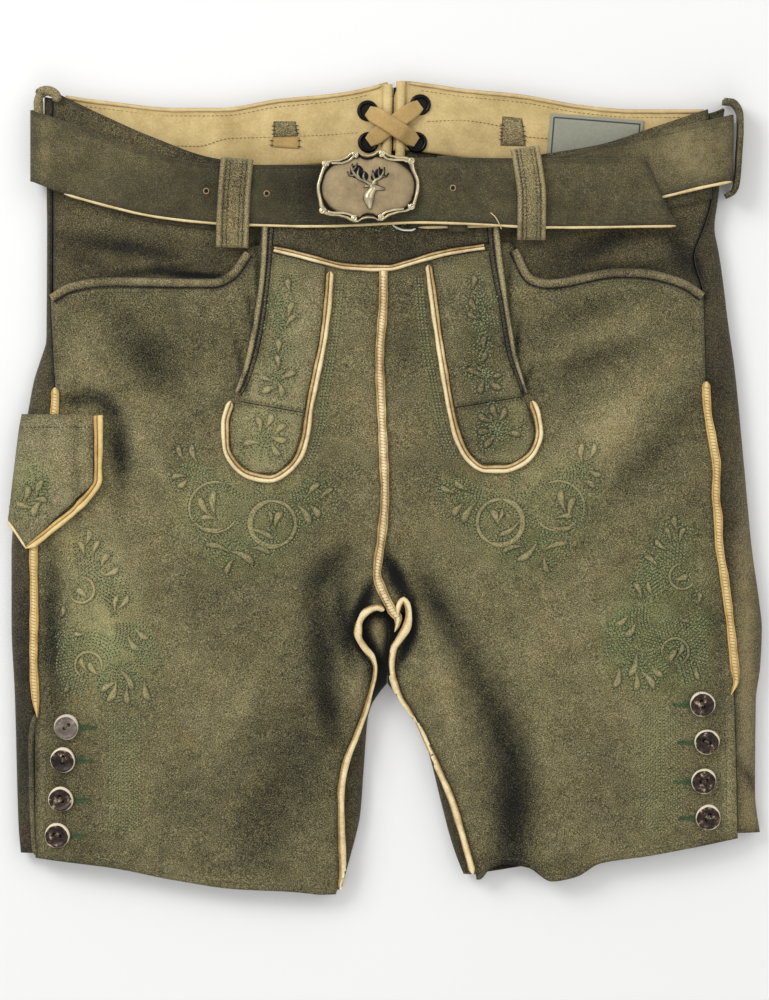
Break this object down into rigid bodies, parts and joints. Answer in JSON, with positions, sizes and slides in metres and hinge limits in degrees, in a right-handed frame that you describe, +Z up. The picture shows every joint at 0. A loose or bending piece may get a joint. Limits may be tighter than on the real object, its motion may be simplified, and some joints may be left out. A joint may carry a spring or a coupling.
{
  "type": "lederhosen",
  "caption": "Short leather trousers laid flat on their back, with a drop front, edged seams, horn-buttoned leg vents, a laced back and their own buckled belt.",
  "frame": {"origin": "on the surface that the garment lies on, below the middle of its box", "axes": "+X to the wearer's left, +Y up the body from the legs to the waist, +Z up through the front, away from the surface"},
  "size_m": [0.5006, 0.54, 0.0324],
  "materials": {
    "suede_olive": "brushed olive suede, worn lighter on the high places",
    "suede_light": "lighter olive suede, worn",
    "suede_dark": "dark olive-brown suede",
    "tan_leather": "smooth tan inner leather",
    "tan_edging": "pale tan edging leather, sewn over",
    "belt_suede": "olive-brown belt suede",
    "antique_bronze": "antiqued pale bronze",
    "horn": "dark polished horn",
    "black_eyelet": "blackened metal",
    "woven_label": "grey woven label, bare"
  },
  "bodies": {
    "root": {"front_right": "suede_olive", "front_left": "suede_olive", "tongue_tip_right": "suede_olive", "tongue_tip_left": "suede_olive", "belt_loop_front_right": "suede_olive", "belt_loop_front_left": "suede_olive", "belt_loop_back_right": "suede_olive", "belt_loop_back_left": "suede_olive", "belt_loop_side_right": "suede_olive", "belt_loop_side_left": "suede_olive", "binding_right": "suede_olive", "binding_left": "suede_olive", "back_right": "suede_light", "back_left": "suede_light", "tongue_right": "suede_light", "tongue_left": "suede_light", "knife_flap": "suede_light", "pocket_facing_right": "suede_dark", "pocket_facing_left": "suede_dark", "pocket_welt_right": "suede_dark", "pocket_welt_left": "suede_dark", "waistband_front_right": "suede_dark", "waistband_front_left": "suede_dark", "drop_front": "suede_dark", "waistband_back_right": "tan_leather", "waistband_back_left": "tan_leather", "back_roll_right": "tan_leather", "back_roll_left": "tan_leather", "lace_under": "tan_leather", "lace_over": "tan_leather", "piping_drop_front": "tan_edging", "piping_tongue_right": "tan_edging", "piping_tongue_left": "tan_edging", "piping_centre": "tan_edging", "piping_side_right": "tan_edging", "piping_side_left": "tan_edging", "piping_inseam_right": "tan_edging", "piping_inseam_left": "tan_edging", "piping_knife_flap": "tan_edging", "belt_front": "belt_suede", "belt_buckle_end": "belt_suede", "belt_back": "belt_suede", "belt_keeper": "belt_suede", "buckle_plate": "antique_bronze", "buckle_stag": "antique_bronze", "buckle_hook": "antique_bronze", "button_right_1": "horn", "button_right_2": "horn", "button_right_3": "horn", "button_right_4": "horn", "button_left_1": "horn", "button_left_2": "horn", "button_left_3": "horn", "button_left_4": "horn", "eyelet_upper_right": "black_eyelet", "eyelet_upper_left": "black_eyelet", "eyelet_lower_right": "black_eyelet", "eyelet_lower_left": "black_eyelet", "label": "woven_label"}
  },
  "joints": []
}
